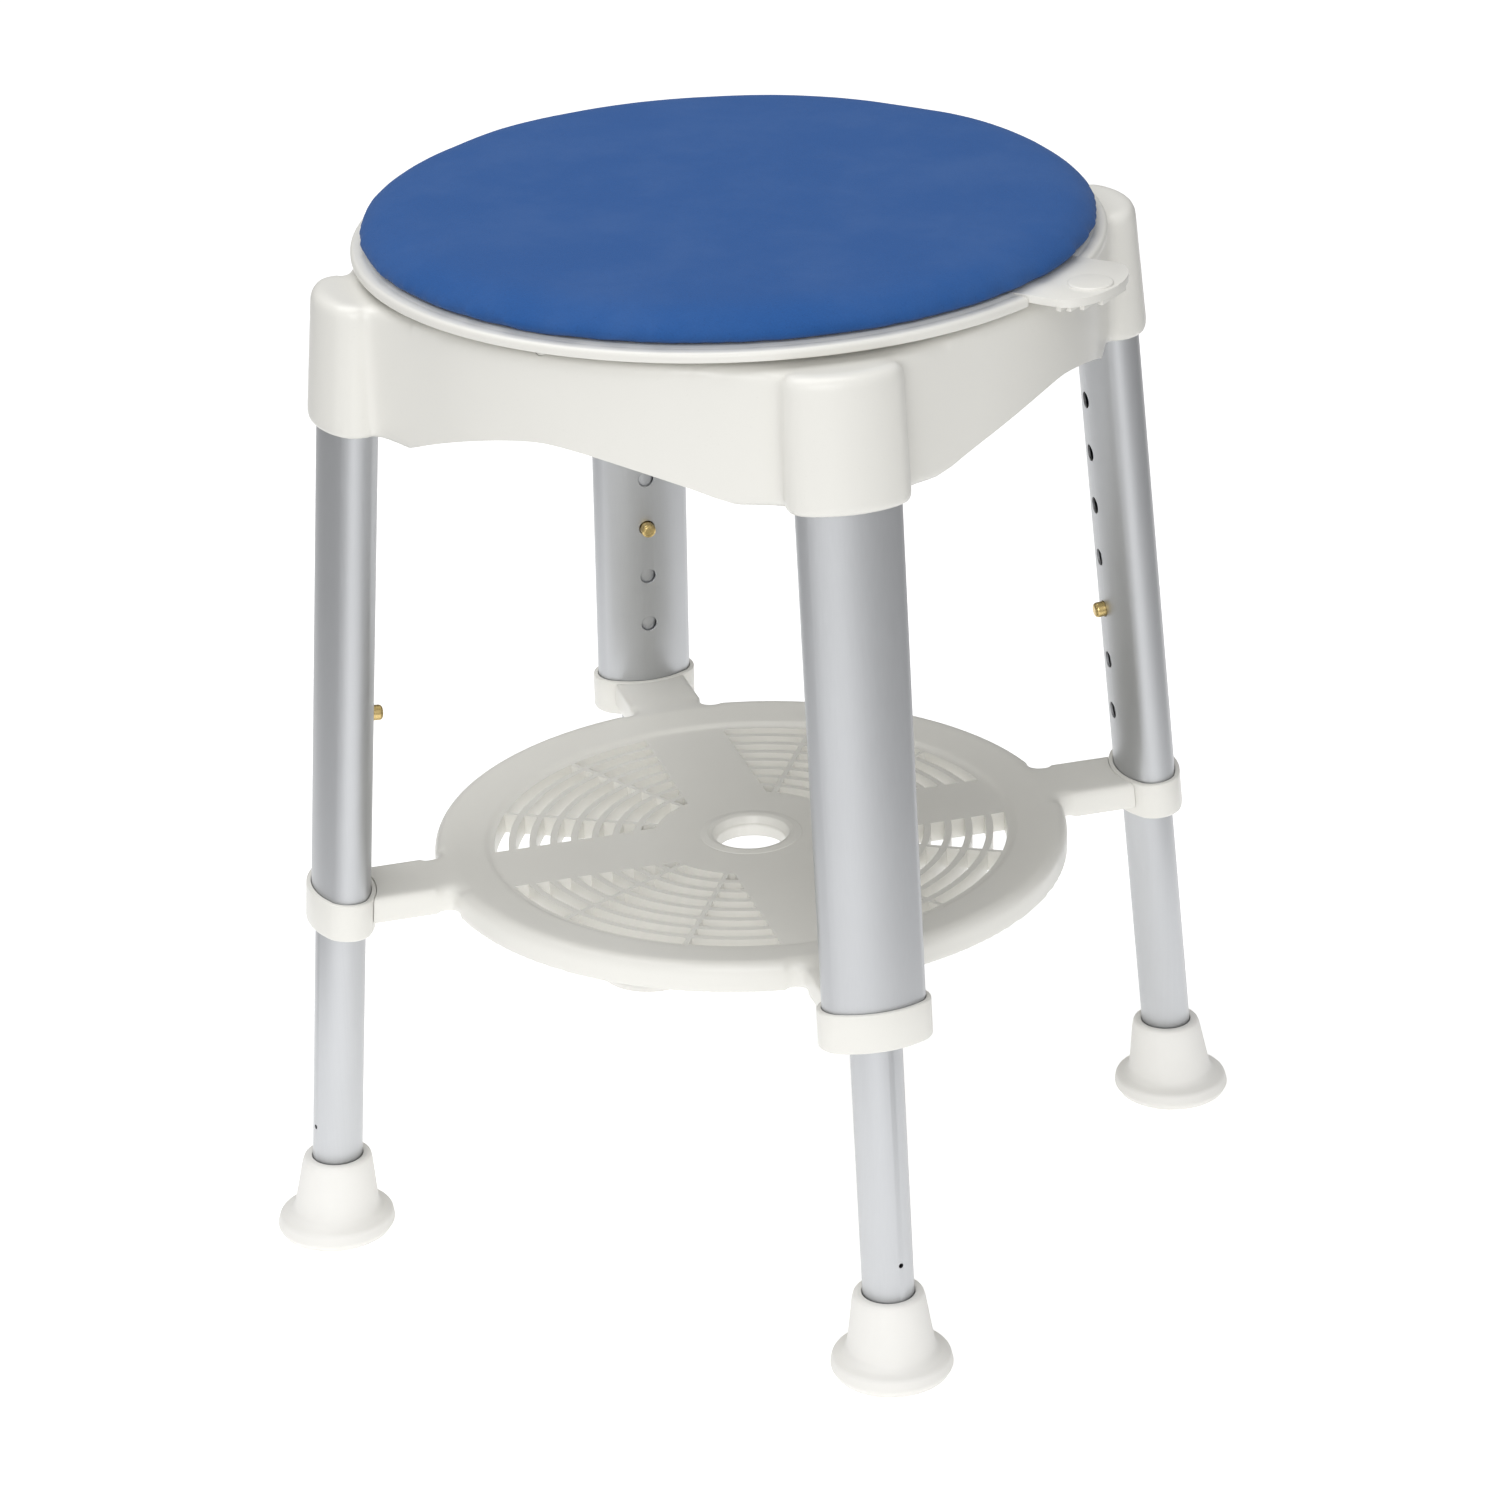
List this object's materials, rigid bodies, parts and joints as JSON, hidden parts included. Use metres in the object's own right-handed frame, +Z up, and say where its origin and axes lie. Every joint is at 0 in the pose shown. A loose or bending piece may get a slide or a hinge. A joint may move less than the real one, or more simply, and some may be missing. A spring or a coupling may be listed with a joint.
{
  "type": "shower stool",
  "caption": "Round padded shower stool with a swivel seat, a pull tab that locks it, telescoping push-button legs, rubber feet and a slotted drainage shelf.",
  "frame": {"origin": "on the floor, on the seat's swivel axis, midway between the four feet", "axes": "+Z up, -Y towards the front, +X towards the seat's lock tab; the legs stand on the diagonals"},
  "size_m": [0.3571, 0.3374, 0.468],
  "materials": {
    "white_plastic": "soft gloss moulded polypropylene, warm white",
    "inner_plastic": "matt moulded plastic, off white",
    "nylon": "smooth unfilled nylon",
    "foam": "closed-cell foam, matt, fine grain, blue",
    "foot_rubber": "smooth pale rubber",
    "tube_aluminium": "satin anodised, fine drawn lines",
    "steel": "zinc-plated",
    "spring_steel": "bare spring steel",
    "button_brass": "bright turned"
  },
  "bodies": {
    "root": {"base_frame": "white_plastic", "pivot_bolt": "steel", "pivot_head_washer": "steel", "pivot_nut_washer": "steel", "pivot_nut": "steel", "thrust_washer": "nylon", "shelf": "white_plastic", "glide_pad_1": "nylon", "glide_pad_2": "nylon", "glide_pad_3": "nylon", "glide_pad_4": "nylon", "upper_leg_front_left": "tube_aluminium", "upper_leg_plug_front_left": "inner_plastic", "leg_screw_front_left": "steel", "leg_collar_front_left": "white_plastic", "upper_leg_front_right": "tube_aluminium", "upper_leg_plug_front_right": "inner_plastic", "leg_screw_front_right": "steel", "leg_collar_front_right": "white_plastic", "upper_leg_rear_right": "tube_aluminium", "upper_leg_plug_rear_right": "inner_plastic", "leg_screw_rear_right": "steel", "leg_collar_rear_right": "white_plastic", "upper_leg_rear_left": "tube_aluminium", "upper_leg_plug_rear_left": "inner_plastic", "leg_screw_rear_left": "steel", "leg_collar_rear_left": "white_plastic"},
    "seat": {"seat_pad": "foam", "seat_plate": "white_plastic", "lock_guide": "inner_plastic", "lock_spring": "spring_steel", "lock_guide_screw_front": "steel", "lock_guide_screw_rear": "steel"},
    "lock": {"lock_slider": "white_plastic"},
    "lower_leg_front_left": {"lower_leg_front_left": "tube_aluminium", "lower_leg_guide_front_left": "inner_plastic", "snap_spring_front_left": "spring_steel", "foot_front_left": "foot_rubber", "foot_washer_front_left": "steel"},
    "button_front_left": {"snap_button_front_left": "button_brass"},
    "lower_leg_front_right": {"lower_leg_front_right": "tube_aluminium", "lower_leg_guide_front_right": "inner_plastic", "snap_spring_front_right": "spring_steel", "foot_front_right": "foot_rubber", "foot_washer_front_right": "steel"},
    "button_front_right": {"snap_button_front_right": "button_brass"},
    "lower_leg_rear_right": {"lower_leg_rear_right": "tube_aluminium", "lower_leg_guide_rear_right": "inner_plastic", "snap_spring_rear_right": "spring_steel", "foot_rear_right": "foot_rubber", "foot_washer_rear_right": "steel"},
    "button_rear_right": {"snap_button_rear_right": "button_brass"},
    "lower_leg_rear_left": {"lower_leg_rear_left": "tube_aluminium", "lower_leg_guide_rear_left": "inner_plastic", "snap_spring_rear_left": "spring_steel", "foot_rear_left": "foot_rubber", "foot_washer_rear_left": "steel"},
    "button_rear_left": {"snap_button_rear_left": "button_brass"}
  },
  "joints": [
    {"name": "seat_swivel", "type": "hinge", "parent": "root", "child": "seat", "pos_m": [0, 0, 0.4433], "axis": [0, 0, 1], "continuous": true},
    {"name": "lock_pull", "type": "slide", "parent": "seat", "child": "lock", "axis": [0.9994, -0.0349, 0], "range_m": [0, 0.006], "stiffness_N_per_m": 700, "springref_m": -0.004, "deforming": ["lock_spring"]},
    {"name": "leg_slide_front_left", "type": "slide", "parent": "root", "child": "lower_leg_front_left", "axis": [0.0565, 0.0565, 0.9968], "range_m": [-0.0508, 0.1016]},
    {"name": "button_press_front_left", "type": "slide", "parent": "lower_leg_front_left", "child": "button_front_left", "axis": [-0.7048, -0.7048, 0.0799], "range_m": [0, 0.006], "stiffness_N_per_m": 1200, "springref_m": -0.003, "deforming": ["snap_spring_front_left"]},
    {"name": "leg_slide_front_right", "type": "slide", "parent": "root", "child": "lower_leg_front_right", "axis": [-0.0565, 0.0565, 0.9968], "range_m": [-0.0508, 0.1016]},
    {"name": "button_press_front_right", "type": "slide", "parent": "lower_leg_front_right", "child": "button_front_right", "axis": [0.7048, -0.7048, 0.0799], "range_m": [0, 0.006], "stiffness_N_per_m": 1200, "springref_m": -0.003, "deforming": ["snap_spring_front_right"]},
    {"name": "leg_slide_rear_right", "type": "slide", "parent": "root", "child": "lower_leg_rear_right", "axis": [-0.0565, -0.0565, 0.9968], "range_m": [-0.0508, 0.1016]},
    {"name": "button_press_rear_right", "type": "slide", "parent": "lower_leg_rear_right", "child": "button_rear_right", "axis": [0.7048, 0.7048, 0.0799], "range_m": [0, 0.006], "stiffness_N_per_m": 1200, "springref_m": -0.003, "deforming": ["snap_spring_rear_right"]},
    {"name": "leg_slide_rear_left", "type": "slide", "parent": "root", "child": "lower_leg_rear_left", "axis": [0.0565, -0.0565, 0.9968], "range_m": [-0.0508, 0.1016]},
    {"name": "button_press_rear_left", "type": "slide", "parent": "lower_leg_rear_left", "child": "button_rear_left", "axis": [-0.7048, 0.7048, 0.0799], "range_m": [0, 0.006], "stiffness_N_per_m": 1200, "springref_m": -0.003, "deforming": ["snap_spring_rear_left"]}
  ]
}
